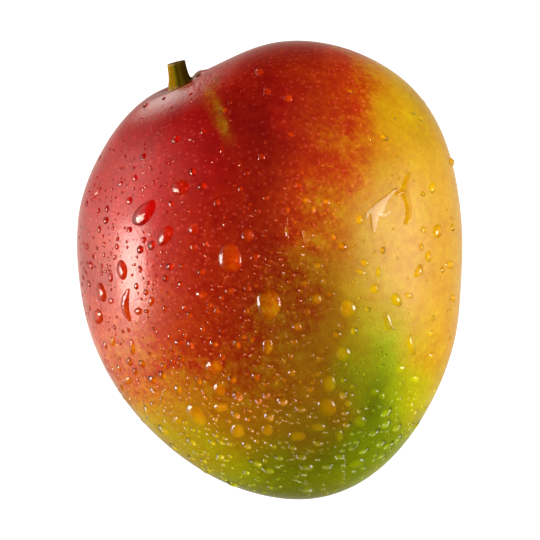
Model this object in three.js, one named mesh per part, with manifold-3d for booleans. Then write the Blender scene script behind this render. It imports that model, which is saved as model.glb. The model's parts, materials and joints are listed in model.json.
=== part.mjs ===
// A ripe mango lying on one cheek, with the cut stub of its stalk.
// Millimetres, +Z up. The fruit's long axis runs along Y, with the stalk end at +Y, and its width along X.
// The origin is the middle of the small flat spot that the fruit rests on.
import * as THREE from "three";
import { mergeVertices } from "three/addons/utils/BufferGeometryUtils.js";
import Module from "manifold-3d";

// Driving dimensions: millimetres, and degrees for bearings and spreads.
const HALF_WIDTH = 50.6;
const HALF_LENGTH = 60.5;
const HALF_THICKNESS = 44.5;
const FULLNESS = 2.05; // exponent of the body: 2 is an ellipsoid, more is squarer
const FLAT_DEPTH = 0.9; // how much of the lower cheek the resting spot takes off
const CHEEK_REACH = 0.6; // below 1, swellings reach further over the cheeks than round the outline

// Swellings and flats of the outline. The bearing is counted from +X towards +Y, seen from above.
const SWELLINGS = {
  backShoulder: { bearing: 49, height: 3.9, spread: 25 },
  belly: { bearing: 161, height: 1.2, spread: 15.5 },
  flatOfTheBellySide: { bearing: 241, height: -4.4, spread: 40 },
  nose: { bearing: 286, height: 2.7, spread: 24 },
  flatOfTheBack: { bearing: 356, height: -0.6, spread: 13 },
  valleyAtTheStalk: { bearing: 108, height: -4.6, spread: 17 },
};
const UPPER_CHEEK_SLOPE = 0.11; // how much the upper cheek falls towards the nose and rises to the stalk

// The cup that the stalk stands in. The lift is counted from the outline's plane towards +Z.
const CUP = { bearing: 116, lift: 8.5, depth: 2.2, radius: 7 };
const CUP_STEEPNESS = 3; // exponent of the cup's wall: more is a flatter floor

const STALK = {
  length: 6.7,
  rootRadius: 2.9,
  topRadius: 2.35,
  collarHeight: 0.55, // how far the swollen root stands proud of the taper
  collarReach: 1.6,
  bend: 18, // degrees that the cut end leans off the root's direction
  rootGap: 0.6,
};

const MERIDIANS = 84;
const RINGS = 46;
const RING_GATHERING = 0.45; // share by which the rings lie closer together at the cup than at the nose
const STALK_SIDES = 24;
const STALK_STEPS = 8;
const CUTTER_SIZE = 200; // side of the block whose top face cuts the resting spot
const MERGE_DISTANCE = 1e-4;

const centre = new THREE.Vector3(0, 0, HALF_THICKNESS - FLAT_DEPTH);

/** The unit vector with this bearing round the outline and this lift above its plane. */
function direction(bearing, lift = 0) {
  const b = THREE.MathUtils.degToRad(bearing);
  const l = THREE.MathUtils.degToRad(lift);
  return new THREE.Vector3(Math.cos(l) * Math.cos(b), Math.cos(l) * Math.sin(b), Math.sin(l));
}

const cupDirection = direction(CUP.bearing, CUP.lift);

/** Distance of the skin from the fruit's centre along the unit vector n. */
function skinRadius(n) {
  const upper = (1 + n.z) / 2;
  const thickness = HALF_THICKNESS * (1 + UPPER_CHEEK_SLOPE * upper * n.y);
  const share = (along, half) => (Math.abs(along) / half) ** FULLNESS;
  let radius = (share(n.x, HALF_WIDTH) + share(n.y, HALF_LENGTH) + share(n.z, thickness)) ** (-1 / FULLNESS);
  const flattened = new THREE.Vector3(n.x, n.y, n.z * CHEEK_REACH).normalize();
  for (const { bearing, height, spread } of Object.values(SWELLINGS)) {
    const away = THREE.MathUtils.radToDeg(flattened.angleTo(direction(bearing)));
    radius += height * Math.exp(-((away / spread) ** 2));
  }
  const fromCup = n.angleTo(cupDirection) * radius;
  return radius - CUP.depth * Math.exp(-((fromCup / CUP.radius) ** CUP_STEEPNESS));
}

/** The point of the skin along the unit vector n. */
function skinPoint(n) {
  return n.clone().multiplyScalar(skinRadius(n)).add(centre);
}

const wasm = await Module();
wasm.setup();

/** A closed geometry as a manifold-3d solid. */
function solidOf(geometry) {
  const bare = geometry.clone().deleteAttribute("normal").deleteAttribute("uv");
  const merged = mergeVertices(bare, MERGE_DISTANCE);
  return new wasm.Manifold(
    new wasm.Mesh({
      numProp: 3,
      vertProperties: new Float32Array(merged.attributes.position.array),
      triVerts: new Uint32Array(merged.index.array),
    }),
  );
}

/** A manifold-3d solid as a geometry. */
function geometryOf(solid) {
  const { vertProperties, triVerts } = solid.getMesh();
  const geometry = new THREE.BufferGeometry();
  geometry.setAttribute("position", new THREE.BufferAttribute(vertProperties, 3));
  geometry.setIndex(new THREE.BufferAttribute(triVerts, 1));
  geometry.computeVertexNormals();
  return geometry;
}

/** The fruit: a sphere whose pole is at the stalk's cup, drawn out to the skin and cut flat where it rests. */
function makeFruit() {
  const sphere = new THREE.SphereGeometry(1, MERIDIANS, RINGS);
  const position = sphere.attributes.position;
  const toCup = new THREE.Quaternion().setFromUnitVectors(new THREE.Vector3(0, 1, 0), cupDirection);
  const n = new THREE.Vector3();
  for (let i = 0; i < position.count; i++) {
    n.fromBufferAttribute(position, i);
    const polar = Math.acos(THREE.MathUtils.clamp(n.y, -1, 1));
    const round = Math.atan2(n.z, n.x);
    const gathered = polar * (1 - RING_GATHERING + (RING_GATHERING * polar) / Math.PI);
    n.setFromSphericalCoords(1, gathered, Math.PI / 2 - round).applyQuaternion(toCup);
    const p = skinPoint(n);
    position.setXYZ(i, p.x, p.y, p.z);
  }
  const table = new THREE.BoxGeometry(CUTTER_SIZE, CUTTER_SIZE, CUTTER_SIZE).translate(0, 0, -CUTTER_SIZE / 2);
  const geometry = geometryOf(solidOf(sphere).subtract(solidOf(table)));
  const skin = new THREE.MeshStandardMaterial({ color: 0xc4501c, roughness: 0.35, metalness: 0 });
  const mesh = new THREE.Mesh(geometry, skin);
  mesh.name = "fruit";
  return mesh;
}

/** The stalk: a tapered stub with a swollen root, bent along an arc and cut straight across. */
function makeStalk() {
  const { length, rootRadius, topRadius, collarHeight, collarReach, bend, rootGap } = STALK;
  const geometry = new THREE.CylinderGeometry(topRadius, rootRadius, length, STALK_SIDES, STALK_STEPS);
  geometry.translate(0, length / 2, 0);
  const position = geometry.attributes.position;
  const arcRadius = length / THREE.MathUtils.degToRad(bend);
  for (let i = 0; i < position.count; i++) {
    const up = position.getY(i);
    const swell = 1 + (collarHeight / rootRadius) * Math.exp(-((up / collarReach) ** 2));
    const turned = up / arcRadius;
    const out = position.getX(i) * swell;
    position.setXYZ(
      i,
      arcRadius * (1 - Math.cos(turned)) + out * Math.cos(turned),
      arcRadius * Math.sin(turned) - out * Math.sin(turned),
      position.getZ(i) * swell,
    );
  }
  const side = new THREE.Vector3().crossVectors(cupDirection, new THREE.Vector3(0, 0, 1)).normalize();
  const front = new THREE.Vector3().crossVectors(side, cupDirection);
  const bark = new THREE.MeshStandardMaterial({ color: 0x6b5a1e, roughness: 0.7, metalness: 0 });
  const mesh = new THREE.Mesh(geometry, bark);
  mesh.quaternion.setFromRotationMatrix(new THREE.Matrix4().makeBasis(side, cupDirection, front));
  mesh.position.copy(skinPoint(cupDirection)).addScaledVector(cupDirection, rootGap);
  mesh.name = "stalk";
  return mesh;
}

const mango = new THREE.Group();
mango.name = "mango";
mango.add(makeFruit(), makeStalk());

export default mango;
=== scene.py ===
"""A ripe mango lying on one cheek, wet with drops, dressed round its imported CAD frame.

Metres, +Z up, +Y towards the stalk, -X the blushed side. The CAD frame gives the fruit and the stalk at
their real size. Here the fruit gets a fine skin with its blush, its ground colours and its lenticels, the
stalk gets its ribs and its cut end, and water lies on the skin in drops, runs and thin films.
"""
import json
import math

import bpy
import numpy as np
from bpy.props import FloatProperty, FloatVectorProperty, IntProperty, PointerProperty
from bpy.types import Operator, Panel, PropertyGroup
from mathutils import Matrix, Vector

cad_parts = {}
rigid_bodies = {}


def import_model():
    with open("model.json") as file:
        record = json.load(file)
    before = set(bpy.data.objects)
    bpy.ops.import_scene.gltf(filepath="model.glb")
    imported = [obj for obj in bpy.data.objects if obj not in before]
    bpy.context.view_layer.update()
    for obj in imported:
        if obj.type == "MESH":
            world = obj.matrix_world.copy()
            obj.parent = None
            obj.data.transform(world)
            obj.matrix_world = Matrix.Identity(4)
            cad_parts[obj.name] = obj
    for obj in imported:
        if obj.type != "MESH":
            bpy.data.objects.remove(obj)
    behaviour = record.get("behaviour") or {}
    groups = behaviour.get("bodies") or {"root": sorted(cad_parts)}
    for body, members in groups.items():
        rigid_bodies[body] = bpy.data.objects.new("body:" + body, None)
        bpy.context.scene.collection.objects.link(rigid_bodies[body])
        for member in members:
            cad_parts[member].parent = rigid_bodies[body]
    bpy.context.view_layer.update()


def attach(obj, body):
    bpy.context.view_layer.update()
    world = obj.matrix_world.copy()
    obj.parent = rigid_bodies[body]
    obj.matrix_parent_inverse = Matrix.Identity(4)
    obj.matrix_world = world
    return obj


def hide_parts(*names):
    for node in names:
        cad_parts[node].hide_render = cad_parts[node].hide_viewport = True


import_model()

bl_info = {
    "name": "Mango",
    "version": (1, 0, 0),
    "blender": (4, 5, 0),
    "location": "3D View > Sidebar > Mango",
    "description": "Builds a wet ripe mango with its stalk, its water and a plain stage",
    "category": "Add Mesh",
}

MM = 0.001

# ---------------------------------------------------------------- settings a user would change


def a_number(name, description, default, **kind):
    """A number that a user may set."""
    return FloatProperty(name=name, description=description, default=default, **kind)


def a_length(name, description, default):
    """A length in metres that a user may set."""
    return a_number(name, description, default, unit="LENGTH")


def a_colour(name, description, default):
    """A colour that a user may set."""
    return FloatVectorProperty(name=name, description=description, default=default, subtype="COLOR", size=3)


def a_count(name, description, default):
    """A whole number that a user may set."""
    return IntProperty(name=name, description=description, default=default)


class MangoFruit(PropertyGroup):
    """Sizes of the fruit, as its CAD solid has them, and of its skin's fine relief."""

    half_width: a_length("Half width", "Half of the width", 0.0506)
    half_length: a_length("Half length", "Half of the length", 0.0605)
    half_thickness: a_length("Half thickness", "Half of the thickness", 0.0445)
    fullness: a_number("Fullness", "Exponent of the body, 2 for an ellipsoid", 2.05)
    flat_depth: a_length("Resting spot", "What the flat resting spot takes off", 0.0009)
    cheek_slope: a_number("Cheek slope", "Fall of the upper cheek to the nose", 0.11)
    cup_depth: a_length("Cup depth", "Depth of the cup", 0.0017)
    cup_radius: a_length("Cup radius", "Radius of the cup", 0.0056)
    waviness: a_length("Waviness", "Height of the skin's long waves", 0.00003)
    rings: a_count("Rings", "Rings of faces from the stalk to the nose", 230)
    around: a_count("Around", "Faces in each ring", 400)


class MangoSkin(PropertyGroup):
    """Colours of the skin, from full blush to unripe, all at one lightness."""

    blush: a_colour("Blush", "Sunny side", (0.8, 0.004, 0.002))
    vermilion: a_colour("Vermilion", "Thin blush", (0.8, 0.0625, 0.001))
    orange: a_colour("Orange", "Edge of the blush", (0.8, 0.2025, 0.001))
    gold: a_colour("Gold", "Ripe ground", (0.8, 0.397, 0.003))
    lime: a_colour("Lime", "Half-ripe ground", (0.8, 0.64, 0.003))
    green: a_colour("Green", "Unripe ground", (0.8, 1.0, 0.004))


class MangoStalk(PropertyGroup):
    """Sizes and colours of the stalk."""

    length: a_length("Length", "Along the bend", 0.0066)
    root_radius: a_length("Root radius", "Radius at the root", 0.0029)
    top_radius: a_length("Top radius", "Radius at the cut", 0.00235)
    bend: a_number("Bend", "How far the cut end leans", 0.25, subtype="ANGLE")
    # the bark is painted lighter on the flank towards the left lamps and darker on the far one: partly its
    # own colours, partly painted light and shade
    bark: a_colour("Bark", "Dark flank", (0.11, 0.072, 0.001))
    olive: a_colour("Olive", "Green middle", (0.20, 0.16, 0.001))
    ochre: a_colour("Ochre", "Weathered stripe", (0.28, 0.145, 0.001))
    cork: a_colour("Cork", "Collar and rim", (0.62, 0.45, 0.16))


class MangoWater(PropertyGroup):
    """How much water lies on the skin and how steeply it stands."""

    steepness: a_number("Steepness", "Height of a tiny drop over its radius", 0.56)
    flattening: a_length("Flattening", "Radius by which a drop has lost an eighth of its steepness", 0.001)
    small_drops: a_count("Small drops", "Tries at a small drop", 4600)
    fine_drops: a_count("Fine drops", "Tries at a fine drop", 15000)
    seed: a_count("Seed", "Seed of the scattered drops", 5)


class MangoStage(PropertyGroup):
    """The floor, the light and the camera."""

    floor_size: a_length("Floor", "Side of the floor", 8.0)
    camera_height: a_length("Camera height", "Above the widest plane of the fruit", 0.9)
    frame_width: a_length("Framed width", "Width seen at that plane", 0.14175)
    sky: a_number("Sky", "Strength of the even light from all round", 0.33)
    sky_in_gloss: a_number("Sky in gloss", "Strength of the sky in reflections", 0.016)


# ---------------------------------------------------------------- small tools of geometry


def unit(v):
    """v scaled to length 1 along its last axis."""
    return v / np.linalg.norm(v, axis=-1, keepdims=True)


def tangent(n):
    """A unit vector at right angles to each of the unit vectors n."""
    return unit(np.cross(n, [0.3, 0.1, 1.0]))


def direction(bearing, lift=0.0):
    """The unit vector with this bearing round the outline and this lift above its plane, in degrees."""
    b, t = np.radians(bearing), np.radians(lift)
    return np.stack([np.cos(t) * np.cos(b), np.cos(t) * np.sin(b), np.sin(t) + 0 * b], -1)


def angle_between(n, m):
    """Degrees between unit vectors."""
    return np.degrees(np.arccos(np.clip((n * m).sum(-1), -1, 1)))


def smooth(value, low, high):
    """0 below low and 1 above high, with an S-curve between."""
    t = np.clip((value - low) / (high - low), 0, 1)
    return t * t * (3 - 2 * t)


def bell(value):
    """A Gaussian bump: 1 at 0, and falling to 0 both ways."""
    return np.exp(-(value**2))


def whole_turn(count):
    """This many equal steps round a circle, in radians."""
    return np.arange(count) * 2 * math.pi / count


def waves(p, length, seed, count=14):
    """Soft noise near -1 to 1: the sum of cosines with random directions and phases, of about this
    wavelength."""
    rng = np.random.default_rng(seed)
    k = unit(rng.normal(size=(count, 3))) * 2 * math.pi / (length * rng.uniform(0.7, 1.4, (count, 1)))
    phase = rng.uniform(0, 2 * math.pi, count)
    return np.cos(p @ k.T + phase).sum(-1) * math.sqrt(2 / count) / 1.6


def new_mesh(name, points, faces, materials, fields=None, pick=None):
    """A smooth mesh object from an array of points and a list of face arrays. fields are float attributes on
    its points, and pick holds each face array's material number."""
    mesh = bpy.data.meshes.new(name)
    mesh.from_pydata(points.reshape(-1, 3).tolist(), [], [f for group in faces for f in group.tolist()])
    for material in materials:
        mesh.materials.append(material)
    for key, values in (fields or {}).items():
        attribute = mesh.attributes.new(key, "FLOAT", "POINT")
        attribute.data.foreach_set("value", np.ascontiguousarray(values.reshape(-1), np.float32))
    if pick is not None:
        numbers = np.concatenate([np.full(len(group), number) for group, number in zip(faces, pick)])
        mesh.polygons.foreach_set("material_index", numbers.astype(np.int32))
    mesh.polygons.foreach_set("use_smooth", np.ones(len(mesh.polygons), bool))
    mesh.validate()
    obj = bpy.data.objects.new(name, mesh)
    bpy.context.scene.collection.objects.link(obj)
    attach(obj, "root")
    return obj


def ball_faces(rings, around):
    """Faces of a closed skin of rings: the first point is one pole, the last is the other, and the seam is
    shared."""
    j = np.arange(around)
    k = (j + 1) % around
    row = (np.arange(rings - 1) * around)[:, None] + 1
    quads = np.stack([row + j, row + k, row + around + k, row + around + j], -1).reshape(-1, 4)
    last = 1 + (rings - 1) * around
    top = np.stack([np.zeros(around, int), 1 + k, 1 + j], -1)
    end = np.stack([np.full(around, last + around), last + j, last + k], -1)
    return [top, quads, end]


# ---------------------------------------------------------------- the fruit's form, as its CAD solid has it

SWELLINGS = {  # bearing from +X towards +Y in degrees, height in mm, spread in degrees
    "back shoulder": (49, 3.9, 25),
    "belly": (161, 1.2, 15.5),
    "flat of the belly side": (241, -4.4, 40),
    "nose": (286, 2.7, 24),
    "flat of the back": (356, -0.6, 13),
    "valley at the stalk": (108, -4.6, 17),
}
CHEEK_REACH = 0.6
CUP_AXIS = direction(116, 8.5)
CUP_SIDE = unit(np.cross(CUP_AXIS, [0, 0, 1.0]))
CUP_FRONT = np.cross(CUP_SIDE, CUP_AXIS)
CUP_STEEPNESS = 2.5

# The small marks beside the stalk: bearing and lift in degrees, reach along the outline and upwards in mm.

RELIEF = {  # height in mm, then the place
    "corky lip": (1.3, 110.6, 8.5, 2.5, 2.2),
    "pit in the lip": (-0.9, 110.3, 10.8, 0.55, 0.8),
}
CORK_COLLAR = (0.8, 3.9, 0.6)  # share, distance from the cup's axis and spread in mm
CORK_SPOTS = {  # share, then the place
    "lip": (1.3, 110.5, 8.5, 2.4, 2.4),
    "edge of the cup": (0.9, 115.5, 19.0, 3.4, 0.8),
}
PAINTED_SHADE_SPOTS = {  # the same; painted shade in the pit of the lip and in the cup below the stalk
    "pit in the lip": (1.7, 110.3, 10.8, 0.6, 0.8),
    "shade in the cup": (0.8, 115.5, 16.8, 3.2, 0.7),
}


def body_radius(fruit, n):
    """Distance of the CAD solid's skin from the centre along unit vectors n: a superellipsoid whose upper
    cheek slopes to the nose, plus a Gaussian bump for each swelling, less a round dimple for the stalk's
    cup."""
    upper = (1 + n[..., 2]) / 2
    thickness = fruit.half_thickness * (1 + fruit.cheek_slope * upper * n[..., 1])
    e = fruit.fullness
    shares = (
        np.abs(n[..., 0] / fruit.half_width) ** e
        + np.abs(n[..., 1] / fruit.half_length) ** e
        + np.abs(n[..., 2] / thickness) ** e
    )
    radius = shares ** (-1 / e)
    flattened = unit(n * np.array([1, 1, CHEEK_REACH]))
    for bearing, height, spread in SWELLINGS.values():
        away = angle_between(flattened, direction(bearing)) / spread
        radius = radius + height * MM * bell(away)
    from_cup = np.radians(angle_between(n, CUP_AXIS)) * radius
    return radius - fruit.cup_depth * np.exp(-((from_cup / fruit.cup_radius) ** CUP_STEEPNESS))


def centre_of(fruit):
    """The middle of the fruit: half a thickness above the floor, less what the resting spot takes off."""
    return np.array([0, 0, fruit.half_thickness - fruit.flat_depth])


def spot(fruit, n, bearing, lift, reach_along, reach_up):
    """A Gaussian spot round one direction: 1 at its middle, with its reaches in mm along the outline and
    upwards."""
    middle = direction(bearing, lift)
    along = unit(np.cross([0, 0, 1.0], middle))
    up = np.cross(middle, along)
    radius = fruit.half_length / MM
    u, v = (n @ along) * radius / reach_along, (n @ up) * radius / reach_up
    return np.exp(-(u * u + v * v)) * ((n @ middle) > 0)


def spotted(fruit, n, spots):
    """The sum of Gaussian spots, each with its share."""
    return sum(share * spot(fruit, n, *place) for share, *place in spots.values())


def skin_point(fruit, n):
    """The dressed skin along unit vectors n: the CAD form with long soft waves, which end at the resting
    spot, and the small marks at the cup, kept above the floor."""
    radius = body_radius(fruit, n)
    p = radius[..., None] * n
    above_floor = smooth(p[..., 2] + centre_of(fruit)[2], 0.0, 0.012)
    radius = radius + fruit.waviness * above_floor * (waves(p, 0.019, 1) + 0.35 * waves(p, 0.008, 2))
    for height, *place in RELIEF.values():
        radius = radius + height * MM * spot(fruit, n, *place)
    p = radius[..., None] * n + centre_of(fruit)
    p[..., 2] = np.maximum(p[..., 2], 0)
    return p


def skin_normal(fruit, n):
    """Outward unit normals of the skin along n, from two short steps along it."""
    side = tangent(n)
    up = np.cross(side, n)
    step = 0.002  # as a share of the radius
    here = skin_point(fruit, n)
    across = skin_point(fruit, unit(n + step * side)) - here
    along = skin_point(fruit, unit(n + step * up)) - here
    return unit(np.cross(along, across)) * np.sign((np.cross(along, across) * n).sum(-1, keepdims=True))


def above(fruit, x, y):
    """Unit vectors to the upper skin over plan places x and y, in metres. The guess slides by its own
    error."""
    share = np.clip(1 - (x / fruit.half_width) ** 2 - (y / fruit.half_length) ** 2, 0.01, 1)
    p = np.stack([x, y, fruit.half_thickness * np.sqrt(share)], -1)
    middle = centre_of(fruit)
    for _ in range(12):
        n = unit(p)
        there = skin_point(fruit, n) - middle
        p = there + np.stack([x - there[..., 0], y - there[..., 1], 0 * x], -1)
    return unit(p)


# ---------------------------------------------------------------- how the colours lie on the fruit

# Each stroke pulls a field towards its value inside a soft ellipse seen from above:
# value, x, y, reach in x, reach in y in mm, turn in degrees, softness of the edge, strength.

RIPE_GROUND = 0.63
RIPE_STROKES = {  # 0 is full blush, 0.63 is gold and 1 is green
    "right cheek": (0.61, 42.0, -8.0, 12, 24, 0, 0.9, 0.8),
    "yellow foot": (0.85, -9.0, -56.5, 38, 9, -13, 0.95, 1),
    "orange middle": (0.50, -7.0, -27.0, 23, 14, 0, 0.7, 1),
    "olive middle": (0.54, 12.0, -16.0, 10, 17, 0, 0.8, 0.7),
    "thin blush": (0.37, -17.0, 26.0, 34, 43, 0, 0.35, 1),
    "thin blush on the belly": (0.24, -36.5, -9.5, 20, 22, -25, 0.5, 0.85),
    "red tongue": (0.30, -12.0, -19.0, 11, 12, -10, 0.9, 0.8),
    "blush on the crown": (0.16, -3.0, 39.0, 26, 27, 22, 0.5, 1),
    "blush": (0.11, -21.0, 18.0, 25, 35, 0, 0.45, 0.95),
    "back of the crown": (0.15, 14.0, 55.0, 13, 8, -20, 0.9, 0.9),
    "crimson shoulder": (-0.05, -30.0, 27.0, 23, 17, 35, 0.8, 1),
    "crimson crown": (0.04, -4.0, 43.0, 13, 14, 0, 0.8, 1),
    "crimson middle": (0.07, -17.5, 12.5, 11, 17, 0, 0.9, 0.8),
    "crimson by the streak": (-0.03, -15.5, 29.0, 6, 9, 0, 0.9, 0.6),
    "left rim": (-0.08, -50.0, 15.0, 12, 24, 0, 0.9, 1),
    "warm belly": (0.12, -40.0, -5.5, 10, 17, 8, 0.8, 0.9),
    "yellow heel": (0.72, -27.0, -44.5, 12, 6, -38, 0.9, 0.9),
    "lime rim of the green": (0.78, 30.5, -21.0, 8, 17, -6, 0.9, 0.8),
    "lime of the right foot": (0.84, 37.5, -36.0, 6, 10, -25, 0.9, 0.9),
    "green nose": (0.92, 16.0, -52.5, 22, 10, 12, 0.8, 1),
    "green flank": (1.0, 26.5, -37.5, 8.5, 20, -8, 0.7, 1),
    "orange shoulder": (0.45, 17.0, 35.0, 7, 10, 15, 0.9, 0.35),
    "red shoulder": (0.15, 15.5, 44.5, 5, 5, 0, 0.9, 0.5),
    "yellow shoulder": (0.68, 33.0, 45.0, 9, 7, -45, 0.9, 0.6),
    "thin blush in the middle": (0.14, -8.5, 0.0, 8, 11, 0, 0.9, 0.5),
    "red patch in the middle": (0.34, 4.5, -8.0, 6, 9, 0, 0.9, 0.7),
    "green edge": (0.84, 22.5, -30.0, 4, 9, -10, 0.9, 0.4),
    "golden heel": (0.50, -28.0, -29.0, 14, 6, -35, 0.9, 0.6),
    "orange belly": (0.32, -35.5, -18.5, 8, 12, -25, 0.9, 0.6),
    "edge of the orange": (0.47, 14.0, 9.0, 5, 8, 0, 0.9, 0.3),
    "peach cheek": (0.60, 34.5, -6.0, 8, 11, 0, 0.9, 0.6),
}
LIGHT_GROUND = 1.05
LIGHT_STROKES = {  # lightness of the colour, 1 as the settings have it; partly the skin's own tone and partly painted shade, darker at the left rim and under the gloss's hot spot, where the left lamps fall strongly
    "back shoulder": (1.22, 28.0, 50.5, 14, 12, -30, 0.9, 0.9),
    "blushed half": (0.60, -38.0, 5.0, 44, 90, -8, 0.35, 1),
    "bright middle": (1.18, 16.5, 13.0, 9, 16, 0, 0.9, 0.9),
    "bright edge of the blush": (1.28, 8.5, 13.0, 7, 9, 0, 0.9, 0.7),
    "edge of the crown": (0.98, 7.0, 36.0, 5, 12, 10, 0.9, 0.4),
    # painted shade under the hot spot of the gloss
    "ground of the hot spot": (0.44, -33.5, 5.0, 4, 8, 5, 0.9, 0.6),
    "heel": (0.72, -27.5, -24.0, 15, 14, -40, 0.9, 0.9),
    # painted shade along the left rim, where the left lamps fall strongly
    "left rim": (0.28, -54.5, 8.0, 12, 44, 0, 0.9, 1),
    "lower left rim": (0.40, -44.0, -31.0, 8, 26, 28, 0.9, 0.9),
    "left shoulder": (0.42, -34.0, 36.5, 20, 6, 50, 0.9, 0.9),
    "right rim": (0.85, 55.0, 0.0, 13, 48, 0, 0.9, 1),
    "right heel": (0.80, 44.0, -35.0, 9, 18, -30, 0.9, 0.9),
    "dark of the crown": (0.50, -8.0, 36.5, 7, 11, 20, 0.9, 0.9),
    "crown by the stalk": (0.86, -13.0, 50.0, 7, 5, 25, 0.9, 0.8),
    "middle": (0.58, -2.0, -14.5, 22, 32, 0, 0.7, 0.9),
    "olive": (0.53, 13.0, -21.0, 12, 16, 0, 0.9, 0.8),
    "green flank": (0.19, 25.5, -37.5, 9, 18, -10, 0.85, 1),
    "lime above the green": (0.88, 30.5, -15.5, 6, 5, 0, 0.9, 0.5),
    "nose": (0.30, 15.5, -49.0, 22, 12, 10, 0.8, 1),
    "lit heel": (0.62, -22.0, -41.5, 20, 8, -40, 0.9, 0.9),
    "lit nose": (0.40, 5.0, -58.5, 30, 3.5, 0, 0.9, 0.8),
    "right shoulder's rim": (0.85, 43.0, 38.0, 6, 10, 20, 0.9, 0.8),
    "golden heel": (0.74, -28.0, -29.0, 14, 6, -35, 0.9, 0.5),
    "edge of the orange": (1.15, 12.0, 12.0, 5, 8, 0, 0.9, 0.35),
    "red by the heel": (0.74, -16.0, -24.0, 4, 5, 0, 0.9, 0.45),
    "belly's foot": (0.48, -37.5, -20.0, 6, 12, -25, 0.9, 0.6),
}
UNDER_RIPE = {  # the same on the lower cheek
    "gold": (0.62, 0, 0, 80, 80, 0, 0.3, 0.6),
    "blush": (0.24, -34, 26, 22, 30, 0, 0.7, 0.8),
    "green": (0.9, 14, -46, 26, 18, 10, 0.9, 0.9),
}
UNDER_LIGHT = {
    "even": (0.85, 0, 0, 80, 80, 0, 0.3, 0.7),
    "blush": (0.55, -34, 26, 24, 32, 0, 0.7, 0.8),
    "green": (0.35, 14, -46, 26, 18, 10, 0.9, 0.9),
}
STREAKS = {  # thin marks on the upper cheek, for both fields: ripeness, lightness, then the rest of a stroke
    "ochre streak": (0.53, 0.62, -12.8, 38.6, 1.7, 5.4, 20, 0.85, 0.78),
    "ochre streak's foot": (0.56, 0.68, -11.7, 35.4, 1.4, 2.0, 20, 0.9, 0.5),
    "ochre streak's head": (0.46, 0.75, -15.9, 45.0, 1.9, 2.7, 0, 0.9, 0.7),
    "ochre spot above it": (0.44, 0.64, -13.9, 48.3, 1.2, 1.5, 0, 0.9, 0.65),
}

# How the edges waver: by how much in mm, at which wavelength in metres, and a seed each for x and y.

STROKE_DRIFTS = ((2.2, 0.021, 11, 13), (0.8, 0.008, 12, 14))
STREAK_DRIFTS = ((0.35, 0.0035, 15, 16),)

TIGHT_GLOSS, SOFT_GLOSS = 0.18, 0.21  # roughness on the blushed side and on the golden side
RIM_DEPTH = 0.25  # lift of a direction over the outline's plane, as its Z
# share of painted rim light at every bearing
PAINTED_RIM_GROUND = 0.20
PAINTED_RIM_LIGHT = {  # painted rim light: how much lighter the skin's colour is made at its outline, least at the left foot: bearing, share, spread in degrees
    "crown": (100, 0.40, 22),
    "nose": (293, 0.45, 20),
    "back shoulder": (63, 0.18, 12),
    "right foot": (322, 0.18, 14),
    "left foot": (245, -0.15, 20),
}


def painted_rim_light(n):
    """Painted rim light: how much lighter the skin's colour is made along n for lying at the outline: a
    Gaussian of the lift above its plane, with a share that has a Gaussian bump at each bearing."""
    bearing = np.degrees(np.arctan2(n[..., 1], n[..., 0]))
    share = PAINTED_RIM_GROUND
    for middle, more, spread in PAINTED_RIM_LIGHT.values():
        share = share + more * bell(((bearing - middle + 180) % 360 - 180) / spread)
    return share * bell(n[..., 2] / RIM_DEPTH)


def stroked(field, strokes, x, y, weight=1.0):
    """The field after its strokes: each pulls it towards a value inside a soft ellipse, by strength and
    weight."""
    for value, middle_x, middle_y, reach_x, reach_y, turn, softness, strength in strokes.values():
        a = math.radians(turn)
        u = (x - middle_x) * math.cos(a) + (y - middle_y) * math.sin(a)
        v = (y - middle_y) * math.cos(a) - (x - middle_x) * math.sin(a)
        away = np.sqrt((u / reach_x) ** 2 + (v / reach_y) ** 2)
        field = field + (value - field) * (1 - smooth(away, 1 - softness, 1 + softness)) * strength * weight
    return field


def drifted(points, drifts):
    """Plan places of points in mm, made to waver by soft noise, so that the strokes' edges do."""
    x, y = points[..., 0] / MM, points[..., 1] / MM
    for reach, length, seed_x, seed_y in drifts:
        x = x + reach * waves(points, length, seed_x)
        y = y + reach * waves(points, length, seed_y)
    return x, y


def skin_fields(fruit, n, points):
    """Ripeness, lightness, roughness, cork and the painted shade of the pit and the cup on the skin along n.
    The first two are a ground with strokes over it, on the lower cheek with others."""
    x, y = drifted(points, STROKE_DRIFTS)
    ripe = stroked(np.full(x.shape, RIPE_GROUND), RIPE_STROKES, x, y)
    light = stroked(np.full(x.shape, LIGHT_GROUND), LIGHT_STROKES, x, y)
    top = smooth(n[..., 2], -0.1, 0.1)
    near_x, near_y = drifted(points, STREAK_DRIFTS)
    for ripeness, lightness, *ellipse in STREAKS.values():
        ripe = stroked(ripe, {"": (ripeness, *ellipse)}, near_x, near_y, top)
        light = stroked(light, {"": (lightness, *ellipse)}, near_x, near_y, top)
    under = smooth(-n[..., 2], -0.05, 0.45)
    ripe = stroked(ripe, UNDER_RIPE, x, y, under)
    light = stroked(light, UNDER_LIGHT, x, y, under)
    from_cup = np.radians(angle_between(n, CUP_AXIS)) * fruit.half_length / MM
    share, distance, spread = CORK_COLLAR
    collar = share * bell((from_cup - distance) / spread)
    return {
        "ripeness": ripe,
        # the lightness carries the painted rim light at the outline
        "lightness": light * (1 + painted_rim_light(n)),
        "roughness": TIGHT_GLOSS + (SOFT_GLOSS - TIGHT_GLOSS) * smooth(points[..., 0], -0.01, 0.03),
        "cork": np.clip(collar + spotted(fruit, n, CORK_SPOTS), 0, 1),
        # painted shade in the pit of the lip and in the cup
        "pit": np.clip(spotted(fruit, n, PAINTED_SHADE_SPOTS), 0, 1),
    }


# ---------------------------------------------------------------- materials


def new_material(name):
    """A node material, its tree and its shader."""
    material = bpy.data.materials.new(name)
    material.use_nodes = True
    tree = material.node_tree
    return material, tree, tree.nodes["Principled BSDF"]


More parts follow.
